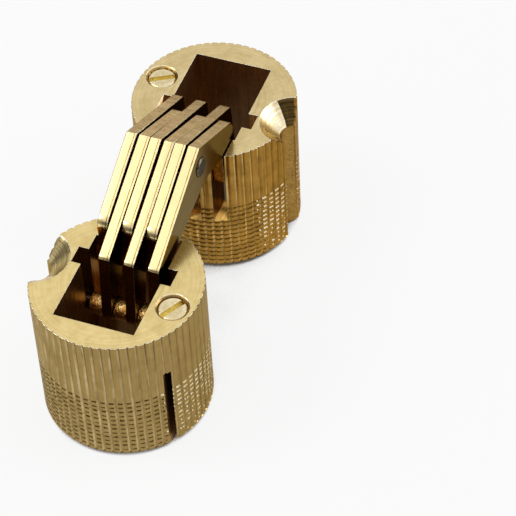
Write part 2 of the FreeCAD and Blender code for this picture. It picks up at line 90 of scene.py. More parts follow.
# %% [markdown]
# ## Joined triangles and broken edges
# The imported solids are triangles. A copy of each has its doubles merged and its
# flat triangles joined, so that one edge of the metal is one edge of the mesh.
# No machined edge is a perfect corner: a stamping, a saw cut or a turned rim has a burr knocked off it, and that
# thin strip is what glints. A Bevel modifier could round the edges too, but the bmesh bevel tells which faces it
# made, so the strips can get a material of their own, mostly a bright one as a painted glint.

# %% Copy a solid with its triangles joined
DOUBLES_WITHIN = 0.0005  # mm
FLAT_WITHIN = math.radians(0.5)


def merged_copy(node, name):
    """New object and open bmesh with a node's form, its flat triangles joined."""
    mesh = frame["nodes"][node].data.copy()
    mesh.name = name
    mesh.materials.clear()
    work = bmesh.new()
    work.from_mesh(mesh)
    bmesh.ops.remove_doubles(work, verts=work.verts, dist=DOUBLES_WITHIN * MM)
    bmesh.ops.dissolve_limit(work, angle_limit=FLAT_WITHIN, verts=work.verts, edges=work.edges)
    piece = bpy.data.objects.new(name, mesh)
    bpy.context.scene.collection.objects.link(piece)
    return piece, work


# %% Break the edges
BROKEN_FROM = math.radians(35)  # an edge that turns by more than this is a corner of the metal
STRIP = 1  # material number of the strips


def break_edges(work, width, keep=lambda edge: True):
    """Round each sharp edge that keep picks, width in mm, and mark its strip."""
    edges = [edge for edge in work.edges
             if len(edge.link_faces) == 2 and edge.calc_face_angle(0.0) > BROKEN_FROM and keep(edge)]
    made = bmesh.ops.bevel(work, geom=edges, offset=width * MM, segments=2, profile=0.5,
                           affect="EDGES", clamp_overlap=True, material=STRIP)
    return len(made["faces"])


# %% [markdown]
# ## Seat a finished piece
# Each finished copy takes the place of its plain solid and rides on the same body. Smooth shading with sharp
# edges above 30 degrees keeps the turned forms round and the corners crisp. Weighted normals keep the large flat
# faces flat beside their broken edges.

# %% Shade a piece and seat it on its body
SHARP_FROM = math.radians(30)


def finish_piece(piece, work, node, materials):
    """Write the bmesh back, smooth it below 30 degrees, and give it materials and a body."""
    work.to_mesh(piece.data)
    work.free()
    for material in materials:
        piece.data.materials.append(material)
    piece.data.polygons.foreach_set("use_smooth", [True] * len(piece.data.polygons))
    piece.data.set_sharp_from_angle(angle=SHARP_FROM)
    weighted = piece.modifiers.new("weighted_normals", "WEIGHTED_NORMAL")
    weighted.keep_sharp = True
    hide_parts(node)
    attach(piece, frame["nodes"][node]["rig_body"])


# %% [markdown]
# ## Nodes and colours
# One function adds any shader node with its settings and links. Another turns
# an sRGB hex colour, as a designer would pick it, into the linear values that
# the renderer works in.

# %% Helpers for materials
def linear(hex_colour):
    """Linear RGBA of an sRGB hex colour: each channel through the sRGB curve."""
    channels = [int(hex_colour[k:k + 2], 16) / 255 for k in (1, 3, 5)]
    return tuple(c / 12.92 if c <= 0.04045 else ((c + 0.055) / 1.055) ** 2.4 for c in channels) + (1.0,)


def add_node(tree, kind, inputs=None, **settings):
    """Add a node, set its options, and set or link its inputs."""
    node = tree.nodes.new(kind)
    for name, value in settings.items():
        setattr(node, name, value)
    for key, value in (inputs or {}).items():
        if isinstance(value, bpy.types.NodeSocket):
            tree.links.new(value, node.inputs[key])
        else:
            node.inputs[key].default_value = value
    return node


def new_material(name):
    """Empty node material, given back with its tree."""
    material = bpy.data.materials.new(name)
    material.use_nodes = True
    material.node_tree.nodes.clear()
    return material, material.node_tree


# %% [markdown]
# ## Patterns of work on metal
# Turning leaves rings about the barrel's axis, sawing and drawing leave
# straight streaks, and a burr or a sheared edge leaves specks. An image of
# scratches would do, but it would need unwrapping. Here each pattern gives one
# number from 0 to 1 at every point, worked out from the point's place in
# metres. Real tool marks are 0.05 to 0.1 mm apart, too fine to show in the
# render, so all of them are drawn three to five times as coarse.

# %% Patterns
MARKS_SPAN = (0.3, 0.7)  # noise seldom leaves this span, so it is stretched to the whole of 0 to 1


def level(tree, value, low, high):
    """Stretch a value so that low becomes 0 and high becomes 1."""
    return add_node(tree, "ShaderNodeMapRange", {"Value": value, 1: low, 2: high}).outputs[0]


def radius_from(tree, place, centre):
    """Distance from an upright axis through centre, r = sqrt((x - cx)^2 + (y - cy)^2), in m."""
    centre = [c * MM for c in centre]
    moved = add_node(tree, "ShaderNodeVectorMath", {0: place, 1: centre}, operation="SUBTRACT").outputs[0]
    flat = add_node(tree, "ShaderNodeVectorMath", {0: moved, 1: (1, 1, 0)}, operation="MULTIPLY").outputs[0]
    return add_node(tree, "ShaderNodeVectorMath", {0: flat}, operation="LENGTH").outputs[1]


def rings(centre, pitch):
    """Turning marks: noise along the radius alone, pitch in mm."""
    def pattern(tree, place):
        noise = add_node(tree, "ShaderNodeTexNoise", {
            "W": radius_from(tree, place, centre), "Scale": 1 / (pitch * MM), "Detail": 3.0,
            "Roughness": 0.6}, noise_dimensions="1D")
        return level(tree, noise.outputs[0], *MARKS_SPAN)
    return pattern


def streaks(lengths):
    """Marks drawn out by three lengths in mm: noise at (x / lx, y / ly, z / lz)."""
    def pattern(tree, place):
        scaled = add_node(tree, "ShaderNodeVectorMath", {
            0: place, 1: [1 / (length * MM) for length in lengths]}, operation="MULTIPLY").outputs[0]
        noise = add_node(tree, "ShaderNodeTexNoise", {
            "Vector": scaled, "Scale": 1.0, "Detail": 3.0, "Roughness": 0.6})
        return level(tree, noise.outputs[0], *MARKS_SPAN)
    return pattern


def specks(size, low=0.45, high=0.62):
    """Specks of a size in mm, with edges as hard as the span from low to high is short."""
    def pattern(tree, place):
        noise = add_node(tree, "ShaderNodeTexNoise", {
            "Vector": place, "Scale": 1 / (size * MM), "Detail": 2.0, "Roughness": 0.7})
        return level(tree, noise.outputs[0], low, high)
    return pattern


def blended(first, second, share):
    """Two patterns added with shares 1 - share and share."""
    def pattern(tree, place):
        return add_node(tree, "ShaderNodeMix", {
            0: share, 2: first(tree, place), 3: second(tree, place)}).outputs[0]
    return pattern


# %% [markdown]
# ## One metal from a pattern
# Brass is a metal through and through, so Metallic is 1 and its colour is that
# of its reflection. The same pattern sets the colour, makes the bright marks a
# little smoother, and is the relief of the tool marks. Soft clouds 2.5 mm wide
# stand for handling, which no fresh turning stays free of. Seen at a glancing
# angle brass pales, and the Specular Tint holds that to a warm white.

# %% Metal
EDGE_TINT = linear("#E6D9BC")
CLOUDS = specks(2.5, 0.35, 0.65)
ROUGHNESS_SWING = 0.15


def metal(name, pattern, dark, light, roughness, depth, cloud_share=0.25, edge=EDGE_TINT):
    """Metal whose colour runs from dark to light with a pattern, which also is its relief of depth mm."""
    material, tree = new_material(name)
    place = add_node(tree, "ShaderNodeTexCoord").outputs["Object"]
    marks = pattern(tree, place)
    mixed = add_node(tree, "ShaderNodeMix", {0: cloud_share, 2: marks, 3: CLOUDS(tree, place)}).outputs[0]
    colour = add_node(tree, "ShaderNodeMix", {0: mixed, 6: linear(dark), 7: linear(light)}, data_type="RGBA")
    rough = add_node(tree, "ShaderNodeMapRange", {
        "Value": marks, 3: roughness * (1 + ROUGHNESS_SWING), 4: roughness * (1 - ROUGHNESS_SWING)})
    bump = add_node(tree, "ShaderNodeBump", {"Height": marks, "Distance": depth * MM, "Strength": 1.0})
    shader = add_node(tree, "ShaderNodeBsdfPrincipled", {
        "Base Color": colour.outputs[2], "Metallic": 1.0, "Roughness": rough.outputs[0],
        "Specular Tint": edge, "Normal": bump.outputs[0]})
    add_node(tree, "ShaderNodeOutputMaterial", {"Surface": shader.outputs["BSDF"]})
    return material


# %% [markdown]
# ## Knurled side
# The flutes run up the whole side, so that the barrel bites into its hole.
# They are in the solid already. The colour darkens with the depth below the lands, a painted shade in the
# flutes. A painted light makes one part of each barrel lighter: the front one towards one side, the rear one
# towards its foot.

# %% Knurled brass
FLUTES = 62
FLUTE_DEPTH = 0.2
LAND_ROUND = 0.03  # mm by which a land's own curve falls
SIDE_FROM = BARREL_RADIUS - 1.3 * FLUTE_DEPTH  # mm from the axis, beyond which a face is on the side


def knurled_pattern(centre, lit_towards, lit_span):
    """Light on the lands and darker in the flutes as painted shade, with streaks along them.

    On the side with painted light, d = (place - centre) . towards, in mm, climbs through the span, and the
    pattern goes half the way to its lightest.
    """
    grain = blended(streaks((0.32, 0.32, 14.0)), streaks((0.25, 0.25, 1.2)), 0.3)
    start = float(np.dot(centre, lit_towards))

    def pattern(tree, place):
        radius = radius_from(tree, place, centre)
        # Painted shade: the colour darkens with the depth below the lands.
        land = level(tree, radius, (BARREL_RADIUS - FLUTE_DEPTH) * MM, (BARREL_RADIUS - LAND_ROUND) * MM)
        mixed = add_node(tree, "ShaderNodeMix", {0: 0.4, 2: grain(tree, place), 3: land}).outputs[0]
        along = add_node(tree, "ShaderNodeVectorMath", {0: place, 1: lit_towards}, operation="DOT_PRODUCT")
        # Painted light: the pattern turns lighter across the span on one side.
        painted_light = level(tree, along.outputs["Value"], *((start + edge) * MM for edge in lit_span))
        half = add_node(tree, "ShaderNodeMath", {0: painted_light, 1: 0.5}, operation="MULTIPLY").outputs[0]
        return add_node(tree, "ShaderNodeMix", {0: half, 2: mixed, 3: 1.0}).outputs[0]
    return pattern


# %% [markdown]
# ## Marks across the knurl
# A second wheel has pressed rows of short grooves across the lands on the lower
# half of each barrel. A bump in the material would vanish at the barrel's
# outline, so every row is a V cut in the mesh: the side is cut at the row's two
# edges and its middle, and the middle points of a land move in by
# d = depth * strength. The strength varies from land to land, because the wheel
# did not run true, and on the front barrel every other row is faint.

# %% Press the rows
UPRIGHT = 0.3  # a face stands upright when its normal rises by less than this
ROW_PITCH = 0.9
ROW_WIDTH = 0.38
ROW_DEPTH = 0.15
ROW_TOPS = {"front": 11.5, "rear": 12.4}
LOWEST_ROW = 1.2
ROW_SEEDS = {"front": 7, "rear": 11}
ON_ROW = 1e-4  # mm
LAND_FROM = BARREL_RADIUS - 0.05


def on_knurl(face):
    """A face of the knurled side: it stands upright, further than SIDE_FROM from its barrel's axis."""
    centre = face.calc_center_median()
    radius = math.hypot(abs(centre.x) / MM - HALF_DISTANCE, centre.y / MM)
    return abs(face.normal.z) < UPRIGHT and radius > SIDE_FROM


def cut_rows(work, rows):
    """Cut the side at each row's middle h and at its edges h - w / 2 and h + w / 2."""
    faces = [face for face in work.faces if on_knurl(face)]
    for row in rows:
        for height in (row - ROW_WIDTH / 2, row, row + ROW_WIDTH / 2):
            near = set(faces)
            for face in faces:
                near.update(face.edges)
                near.update(face.verts)
            cut = bmesh.ops.bisect_plane(work, geom=list(near), dist=1e-8,
                                         plane_co=(0, 0, height * MM), plane_no=(0, 0, 1))
            faces = [item for item in cut["geom"] if isinstance(item, bmesh.types.BMFace)]


def press_rows(work, side):
    """Cut the rows and move the middle of each groove in by d = depth * strength, towards the axis."""
    rows = np.arange(ROW_TOPS[side], LOWEST_ROW, -ROW_PITCH)
    cut_rows(work, rows)
    chance = np.random.default_rng(ROW_SEEDS[side])
    strengths = chance.uniform(0.6, 1.0, (FLUTES, len(rows)))
    if side == "front":
        strengths[:, 1::2] *= 0.5
        strengths[:, 5:] *= 0.7
    shifts = chance.uniform(-0.06, 0.06, (FLUTES, len(rows)))

    axis = np.array((BARREL_SIGNS[side] * HALF_DISTANCE * MM, 0.0))
    places = np.array([vert.co for vert in work.verts], dtype=float)
    out = places[:, :2] - axis
    radius = np.hypot(out[:, 0], out[:, 1]) / MM
    height = places[:, 2] / MM
    row = np.rint((rows[0] - height) / ROW_PITCH).astype(int)
    known = (row >= 0) & (row < len(rows))
    row = np.clip(row, 0, len(rows) - 1)
    pressed = known & (np.abs(height - rows[row]) <= ON_ROW) & (radius >= LAND_FROM)
    turn = np.arctan2(out[:, 1], out[:, 0]) / (2 * math.pi)
    land = np.floor(turn * FLUTES + 0.5).astype(int) % FLUTES
    share = 1 - ROW_DEPTH * strengths[land, row] / np.maximum(radius, LAND_FROM)
    places[:, :2] = axis + out * share[:, None]
    places[:, 2] += shifts[land, row] * MM
    for vert, place, moves in zip(work.verts, places, pressed):
        if moves:
            vert.co = place
    work.normal_update()
    print(side, "barrel has", len(rows), "rows with", int(pressed.sum()), "pressed points")


# %% [markdown]
# ## Sort the faces of a barrel
# The turned end, the knurled side, the sawn slots and the milled pocket are cut
# by different tools, so each has its own brass. One material that worked all
# this out for itself would be slow and hard to read. The centre and normal of
# a face tell which tool made it, so each face gets the number of its region.

# %% Places on a barrel
REGIONS = ["turned_end", "burr", "knurled_side", "shaded_rows", "back_end", "pocket", "slot_floor",
           "screw_groove", "countersink", "screw_bore", "rib_top", "lit_flute_flank", "lit_rows",
           "shaded_cone", "lit_cone"]
GROOVE_AXIS = (0.8, 12.4)
GROOVE_REACH = 2.3
SCREW_AXIS = (-2.0, -8.9)
SCREW_REACH = 2.5
SCREW_DEEPEST = 8.0
RIB_TOPS_FROM = 20.0
CONE_FROM = (6.5, 19.0)  # y and z beyond which the countersink's cone lies
STRAIGHT_OUT = 0.35  # a face of a land looks straight out, a flute's flank more sideways than this
# Beyond this turn the pressed rows get a painted glint.
LIT_FROM = 0.78  # sine of the turn round the barrel from which the pressed rows catch the light
# Direction that a cone face turns to for the countersink's painted shade.
CONE_SHADE_TOWARDS = {"front": (-0.38, 0.92), "rear": (-1.0, 0.0)}


def barrel_place(points, side):
    """Points in a barrel's own place, in mm: x' = -s (x - s d), y' = -s y, with its axis at x' = y' = 0."""
    sign = BARREL_SIGNS[side]
    points = np.asarray(points, dtype=float).reshape(-1, 3) / MM
    return np.column_stack((-sign * (points[:, 0] - sign * HALF_DISTANCE), -sign * points[:, 1], points[:, 2]))


# %% [markdown]
# ## Marks in the light and in the shade
# On the lit side of a barrel the pressed rows get a painted glint, and away from it they are dark notches in
# painted shade. Chance decides face by face in between, with a share that grows round the barrel, and fewer of
# the lower rows glint. The cuts leave the faces in an order that partly changes from run to run, so a few rows
# then glint elsewhere. The countersink's cone has a sector with a painted highlight and a sector in painted
# shade, picked by the direction of its faces.

# %% Sort the faces
def sort_faces(work, side, strips):
    """Give each face of a barrel the number of its region. Later rules win over earlier ones."""
    work.faces.ensure_lookup_table()
    x, y, z = barrel_place([face.calc_center_median() for face in work.faces], side).T
    normals = np.array([face.normal for face in work.faces])
    up = normals[:, 2]
    radius = np.hypot(x, y)
    groove = np.hypot(x - GROOVE_AXIS[0], y - GROOVE_AXIS[1])
    screw = np.hypot(x - SCREW_AXIS[0], y - SCREW_AXIS[1])
    lies = up > 0.9
    cone = (up > 0.4) & ~lies & (y > CONE_FROM[0]) & (z > CONE_FROM[1])
    cone_shade = normals[:, :2] @ CONE_SHADE_TOWARDS[side]
    on_side = (radius > SIDE_FROM) & (np.abs(up) < 0.75)
    across = -BARREL_SIGNS[side] * (normals[:, 1] * x - normals[:, 0] * y) / radius
    straight = np.abs(across) < STRAIGHT_OUT
    marks = on_side & (up > 0.1) & (straight | (side == "rear"))
    beside = np.clip((BARREL_SIGNS[side] * y / radius - LIT_FROM) / 0.1 + 0.5, 0.0, 1.0)
    chance = np.random.default_rng(3).random(len(x))
    lit_share = np.clip(0.25 + 0.1 * (z - 2.0), 0.25, 0.95)
    rules = [
        ("pocket", radius >= 0),
        ("turned_end", lies & (z > BARREL_HEIGHT - 0.1)),
        ("rib_top", lies & (z <= BARREL_HEIGHT - 0.1) & (z > RIB_TOPS_FROM)),
        ("slot_floor", lies & (z <= RIB_TOPS_FROM)),
        ("screw_bore", (screw < SCREW_REACH) & (z > SCREW_DEEPEST) & (up < 0.9)),
        ("screw_groove", (groove < GROOVE_REACH) & (np.abs(up) < UPRIGHT)),
        ("countersink", cone),
        # The countersink's cone gets a painted highlight and a painted shade by the direction of its faces.
        ("lit_cone", cone & (cone_shade > -0.1)),
        ("shaded_cone", cone & (cone_shade > 0.45)),
        ("knurled_side", on_side),
        # Flute flanks that turn one way get a painted highlight.
        ("lit_flute_flank", on_side & (across > STRAIGHT_OUT)),
        # Pressed rows in painted shade; on the lit side some stay plain knurl and some get a painted glint.
        ("shaded_rows", marks),
        ("knurled_side", marks & (chance < beside)),
        ("lit_rows", marks & (chance < lit_share * beside) & straight),
        ("back_end", (up < -0.7) | ((z < 1.6) & (radius > 8) & (up < -0.2))),
    ]
    region = np.zeros(len(x), dtype=int)
    for name, where in rules:
        region[where] = REGIONS.index(name)
    for face, number, height in zip(work.faces, region, z):
        if face not in strips:
            face.material_index = int(number)
        # Edge strips near the foot get the notches' dark brass: a painted line of shade where the barrel meets
        # the floor.
        elif height < 2.0:
            face.material_index = REGIONS.index("shaded_rows")
    counts = np.bincount(region, minlength=len(REGIONS))
    print(side, "barrel:", ", ".join("%s %d" % pair for pair in zip(REGIONS, counts)))


# %% [markdown]
# ## Slot floors
# The slots for the leaves were cut with a round saw, so their floors are
# hollow, and a hollow floor is bright at its outer end and dims inwards. In the
# solid they are flat. The hollow is a relief in the material: 0.1 mm at 1 mm
# from its deepest line and growing with the square of the distance.

# %% Sawn floor
FLOOR_LINE = 7.5  # mm from the barrel's axis
HOLLOW = 0.1


def hollow_floor(name, axis):
    """Floor of a slot whose relief falls by 0.1 (r - 7.5)^2, in mm."""
    material, tree = new_material(name)
    place = add_node(tree, "ShaderNodeTexCoord").outputs["Object"]
    radius = radius_from(tree, place, axis)
    marks = streaks((2.0, 0.3, 2.0))(tree, place)
    colour = add_node(tree, "ShaderNodeMix", {
        0: marks, 6: linear("#E9A63F"), 7: linear("#FFE08C")}, data_type="RGBA")
    out = add_node(tree, "ShaderNodeMath", {0: radius, 1: FLOOR_LINE * MM}, operation="SUBTRACT").outputs[0]
    fall = add_node(tree, "ShaderNodeMath", {0: out, 1: 2.0}, operation="POWER").outputs[0]
    slope = add_node(tree, "ShaderNodeBump", {
        "Height": fall, "Distance": HOLLOW / MM, "Strength": 1.0}, invert=True)
    shader = add_node(tree, "ShaderNodeBsdfPrincipled", {
        "Base Color": colour.outputs[2], "Metallic": 1.0, "Roughness": 0.35, "Normal": slope.outputs[0]})
    add_node(tree, "ShaderNodeOutputMaterial", {"Surface": shader.outputs["BSDF"]})
    return material


# %% [markdown]
# ## The brasses of a barrel
# Leaded brass turns to a pale gold; its brown in the corners is painted shade. The front barrel is paler and the
# rear one more orange, as they lie in the photograph, so each has its own colours, from the darkest of a mark to
# its lightest; each set also holds the painted reflection and shade that its barrel gets where it stands.
# Roughness starts from 0.3, typical of machined brass. A turned face is smoother, and a knurled side rougher.

# %% Colours of the barrels
# Side colours of each barrel, for the flutes, the lands and the lit flanks: painted shade and a painted
# highlight.
SIDE_COLOURS = {"front": ("#7E6639", "#AD925C", "#CCB88A"), "rear": ("#54380F", "#B4863C", "#D8B670")}
FACE_COLOURS = {"front": ("#D2B877", "#F3DD9E"), "rear": ("#C7AF78", "#E9D4A0")}
# Direction and span in mm of the painted light on each barrel's side.
PAINTED_LIGHT_SIDES = {"front": ((-0.379, 0.925, 0.0), (7.0, 11.5)), "rear": ((0.0, 0.0, -1.0), (-13.0, -4.0))}
POCKET_COLOURS = {"front": ("#94704A", "#CFA876"), "rear": ("#B48E68", "#E6C090")}
# Colours of the countersink's painted shade.
CONE_SHADE_COLOURS = {"front": ("#6A5630", "#E8D49C"), "rear": ("#1E1406", "#6A5530")}
# Colours of the notches in painted shade.
SHADED_MARK_COLOURS = {"front": ("#3A290D", "#7E6030"), "rear": ("#4C3510", "#8E6A2C")}


# %% Brasses of the barrels
def upright_axis(side, place=(0.0, 0.0)):
    """World place in mm of an upright axis given in a barrel's own place: x = s (d - x'), y = -s y'."""
    sign = BARREL_SIGNS[side]
    return (sign * (HALF_DISTANCE - place[0]), -sign * place[1], 0)


def barrel_metals(side):
    """The brasses of one barrel, in the order of REGIONS."""
    axis = upright_axis(side)
    groove = upright_axis(side, GROOVE_AXIS)
    screw = upright_axis(side, SCREW_AXIS)
    shade, land, flank = SIDE_COLOURS[side]
    name = side + "_"
    return [
        # Turned: fine rings, and the brightest face of the barrel.
        metal(name + "turned_brass", blended(rings(axis, 0.45), streaks((0.8, 0.8, 0.8)), 0.4),
              *FACE_COLOURS[side], 0.22, 0.003, cloud_share=0.4),
        # Torn rim: painted white glints beside brown ones.
        metal(name + "burr_brass", specks(0.5, 0.35, 0.5), "#B48E4C", "#FFFDE8", 0.2, 0.03),
        # Knurled: light lands, flutes dark with painted shade, and one part painted lighter as painted light.
        metal(name + "knurled_brass", knurled_pattern(axis, *PAINTED_LIGHT_SIDES[side]), shade, land, 0.34, 0.006),
        # Pressed: notches in painted shade.
        metal(name + "shaded_pressed_brass", specks(0.4), *SHADED_MARK_COLOURS[side], 0.3, 0.01),
        # Faced off at the back: wider rings, duller than the front.
        metal(name + "faced_brass", rings(axis, 0.5), "#A88A4C", "#D8BC78", 0.32, 0.004),
        # Milled pocket: long streaks up the walls.
        metal(name + "milled_pocket_brass", streaks((0.7, 0.7, 12.0)), *POCKET_COLOURS[side], 0.3, 0.01),
        hollow_floor(name + "sawn_floor_brass", axis),
        # Drilled channel for the wood screw: short streaks across, brown from the drill.
        metal(name + "drilled_groove_brass", streaks((0.5, 0.5, 0.25)), "#7C5A28", "#B08D4C", 0.34, 0.008),
        # Countersunk: arcs round the groove's axis.
        metal(name + "countersunk_brass", rings(groove, 0.28), "#C8A460", "#F8E0A6", 0.3, 0.001),
        # Bored: rings down the hole of the clamp screw.
        metal(name + "bored_brass", rings(screw, 0.3), "#7A5A2C", "#C8A868", 0.34, 0.004),
        # Tops of the ribs between the slots: saw marks along them.
        metal(name + "rib_brass", streaks((1.2, 0.25, 1.2)), "#B99A57", "#EBD596", 0.3, 0.005),
        # Flanks of the flutes that face the light: a painted highlight.
        metal(name + "lit_flank_brass", streaks((0.5, 0.5, 5.0)), shade, flank, 0.3, 0.006),
        # Pressed rows that face the light: painted cream glints.
        metal(name + "lit_rows_brass", specks(0.3), "#E8C47C", "#FFFCEC", 0.22, 0.01),
        # Sector of the cone in painted shade: arcs in brown.
        metal(name + "shaded_cone_brass", rings(groove, 0.35), *CONE_SHADE_COLOURS[side], 0.3, 0.006),
        # Sector of the cone with a painted highlight: bright arcs.
        metal(name + "lit_cone_brass", rings(groove, 0.28), "#DCC48C", "#FFF8E0", 0.3, 0.001),
    ]


# %% [markdown]
# ## The barrels
# The rim of the front face is broken most, because the flutes tear it. The
# edges of the knurl itself stay sharp, since a wheel has pressed them, and all
# others get a fine break. The rows come after that, so that the bevel does not
# round them away.

# %% Make the barrels
FACE_BREAK = 0.19
EDGE_BREAK = 0.07


def edge_of_face(edge):
    """An edge that lies in the front face of the barrel."""
    return min(vert.co.z for vert in edge.verts) > front_high.z - 0.01 * MM


def edge_off_knurl(edge):
    """An edge that isn't one of the knurl's own."""
    return not all(on_knurl(face) for face in edge.link_faces)


for side in BARREL_SIGNS:
    piece, work = merged_copy(side + "_barrel", side + "_barrel_finished")
    count = break_edges(work, FACE_BREAK, edge_of_face) + break_edges(work, EDGE_BREAK, edge_off_knurl)
    strips = {face for face in work.faces if face.material_index == STRIP}
    press_rows(work, side)
    sort_faces(work, side, strips)
    finish_piece(piece, work, side + "_barrel", barrel_metals(side))
    print(side, "barrel", len(piece.data.polygons), "faces", count, "in strips")

# %% [markdown]
# ## Leaves
# The leaves are stamped from rolled sheet. Their flat sides are smooth, and their dark colour is a painted
# reflection of the shade round them. The punch leaves a bright sheared band on the edge, then a thin dark line
# where the metal broke, then a second band. The bands run across the thickness t = (y - low) / thickness, so
# each leaf has a sheared brass of its own, set by its place along the pins.

# %% Sheared edge
LEAF_THICKNESS = (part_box("leaf_1")[1].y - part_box("leaf_1")[0].y) / MM
BREAK_LINE = 0.2  # share of the thickness at which the dark line runs
LINE_SPAN = (0.015, 0.05)  # half the line's width, where it is dark and where it has ended
WANDER = 0.03


def sheared_pattern(low_y):
    """Bright but for |t + wander - 0.2| < 0.05, where it darkens to the broken line, with torn streaks."""
    torn_streaks = streaks((3.0, 0.3, 3.0))
    grain = blended(torn_streaks, specks(0.3, 0.3, 0.6), 0.5)

    def pattern(tree, place):
        y = add_node(tree, "ShaderNodeSeparateXYZ", {0: place}).outputs[1]
        wander = add_node(tree, "ShaderNodeMapRange", {
            "Value": torn_streaks(tree, place), 3: -WANDER, 4: WANDER}).outputs[0]
        share = level(tree, y, low_y * MM, (low_y + LEAF_THICKNESS) * MM)
        share = add_node(tree, "ShaderNodeMath", {0: share, 1: wander}, operation="ADD").outputs[0]
        apart = add_node(tree, "ShaderNodeMath", {0: share, 1: BREAK_LINE}, operation="SUBTRACT").outputs[0]
        apart = add_node(tree, "ShaderNodeMath", {0: apart}, operation="ABSOLUTE").outputs[0]
        line = level(tree, apart, *LINE_SPAN)
        soft = add_node(tree, "ShaderNodeMapRange", {"Value": grain(tree, place), 3: 0.8, 4: 1.0}).outputs[0]
        return add_node(tree, "ShaderNodeMath", {0: soft, 1: line}, operation="MULTIPLY").outputs[0]
    return pattern


# %% [markdown]
# ## The leaves' brasses
# The arms that face the front barrel show the sheared band. Those that face the rear one show torn metal, beige
# with a cross grain. Edges that look down or to +Y get a brown one, a painted reflection of their neighbours'
# warm brass in painted shade.

# %% Make the leaves
LEAF_BREAK = 0.15
SHEARED, BURR_GLINT, ROLLED_IN_SHADE, REFLECTED, TORN = range(5)

# Rolled sheet: nearly no marks and a low roughness; its dark gold is a painted reflection of the shade round it.
rolled = metal("rolled_brass_in_shade", streaks((4.0, 4.0, 0.4)), "#4C3B20", "#624D2C", 0.16, 0.001,
               edge=linear("#E4DAC2"))
# Burr: painted cream glints along the edges.
leaf_burr_glint = metal("leaf_burr_brass", specks(0.3), "#D8BE78", "#FFFCE0", 0.2, 0.015)
# Between the leaves: a warm brown, painted reflection and shade of the neighbouring brass.
leaf_reflection = metal("leaf_warm_brass", specks(0.3), "#5E2E0C", "#96601F", 0.34, 0.008)
# Torn metal: a cross grain of beige and cream.
torn = metal("torn_brass", blended(streaks((0.35, 3.0, 0.35)), specks(0.35, 0.35, 0.65), 0.45),
             "#99784A", "#F8DDB0", 0.3, 0.012, cloud_share=0.1)


def leaf_metal(face):
    """Number of a leaf face's brass: by its strip, then its height, then its side, then its slope in x."""
    if face.material_index == STRIP:
        return REFLECTED if face.normal.y > 0.15 else BURR_GLINT
    if abs(face.normal.y) > 0.9:
        return ROLLED_IN_SHADE
    if face.normal.z < 0.2:
        return REFLECTED
    return TORN if face.normal.x > 0.2 else SHEARED


for number in range(1, 7):
    node_name = "leaf_%d" % number
    low_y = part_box(node_name)[0].y / MM
    # Sheared: smooth and bright as the punch.
    sheared = metal("sheared_brass_%d" % number, sheared_pattern(low_y), "#6B5A2C", "#FFE6AA", 0.26, 0.003,
                    cloud_share=0.06)
    piece, work = merged_copy(node_name, node_name + "_finished")
    count = break_edges(work, LEAF_BREAK)
    for face in work.faces:
        face.material_index = leaf_metal(face)
    finish_piece(piece, work, node_name, [sheared, leaf_burr_glint, rolled, leaf_reflection, torn])
    print(node_name, "has", len(piece.data.polygons), "faces,", count, "in strips")

# %% [markdown]
# ## Pins and spacers
# The pins are drawn steel wire: grey, with fine streaks along them, and with ends that were only cropped. Their
# edge strips are brown and pale, a painted reflection and shade of the brass round them. The spacers are cropped
# from brass rod and have a coarse, speckled skin; its light specks are painted highlights.

# %% Make the pins
SMALL_BREAK = 0.08
GREY_TINT = linear("#B0AEAA")
steel = metal("drawn_steel", streaks((0.3, 4.0, 0.3)), "#3A3836", "#6E6C69", 0.24, 0.003, edge=GREY_TINT)
# Edge strips of the pins: brown and pale, a painted reflection and shade of the brass round them.
shaded_steel_edge = metal("shaded_steel_edge", specks(0.25), "#4E3F26", "#8E7A50", 0.2, 0.01, edge=GREY_TINT)
PINS = ("centre_pin", "front_pivot_pin", "rear_pivot_pin", "front_slide_pin", "rear_slide_pin")
for node_name in PINS:
    piece, work = merged_copy(node_name, node_name + "_finished")
    break_edges(work, SMALL_BREAK)
    finish_piece(piece, work, node_name, [steel, shaded_steel_edge])
print(len(PINS), "pins")

# %% Make the spacers
# Spacer brass is painted brighter for the dim pocket, with painted highlights on its specks; its edge strips are
# a painted glint.
spacer_brass = metal("spacer_brass", specks(0.4, 0.42, 0.58), "#C48430", "#FFDC94", 0.3, 0.03)
spacer_edge = metal("spacer_edge", specks(0.3), "#C58A38", "#FFF0B8", 0.22, 0.01)
spacers = ["%s_spacer_%d" % (side, k) for side in BARREL_SIGNS for k in (1, 2, 3)]
for node_name in spacers:
    piece, work = merged_copy(node_name, node_name + "_finished")
    break_edges(work, SMALL_BREAK)
    finish_piece(piece, work, node_name, [spacer_brass, spacer_edge])
print(len(spacers), "spacers")

# %% [markdown]
# ## Clamp screws
# Each screw was turned and then slotted, so its head has faint rings about its own axis, and its rim is a
# painted glint. The floor of the slot is a fresh, yellower cut.

# %% Make the screws
SCREW_BREAK = 0.06
HEAD, SLOT = 0, 2
screw_slot = metal("screw_slot_brass", streaks((1.5, 0.3, 1.5)), "#F2DC90", "#FFF8C4", 0.4, 0.005)
for side in BARREL_SIGNS:
    node_name = side + "_clamp_screw"
    marks = blended(rings(upright_axis(side, SCREW_AXIS), 0.35), specks(0.6), 0.3)
    head = metal(side + "_screw_head_brass", marks, "#C9B27C", "#FFF3CE", 0.24, 0.004)
    # Rim of the head: a painted glint.
    rim = metal(side + "_screw_edge_brass", specks(0.3), "#D9C48E", "#FFFBE6", 0.2, 0.01)
    piece, work = merged_copy(node_name, node_name + "_finished")
    break_edges(work, SCREW_BREAK)
    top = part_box(node_name)[1].z / MM
    for face in work.faces:
        if face.material_index != STRIP:
            face.material_index = SLOT if face.calc_center_median().z / MM < top - 0.1 else HEAD
    finish_piece(piece, work, node_name, [head, rim, screw_slot])
    print(node_name, "top at %.2f mm" % top)

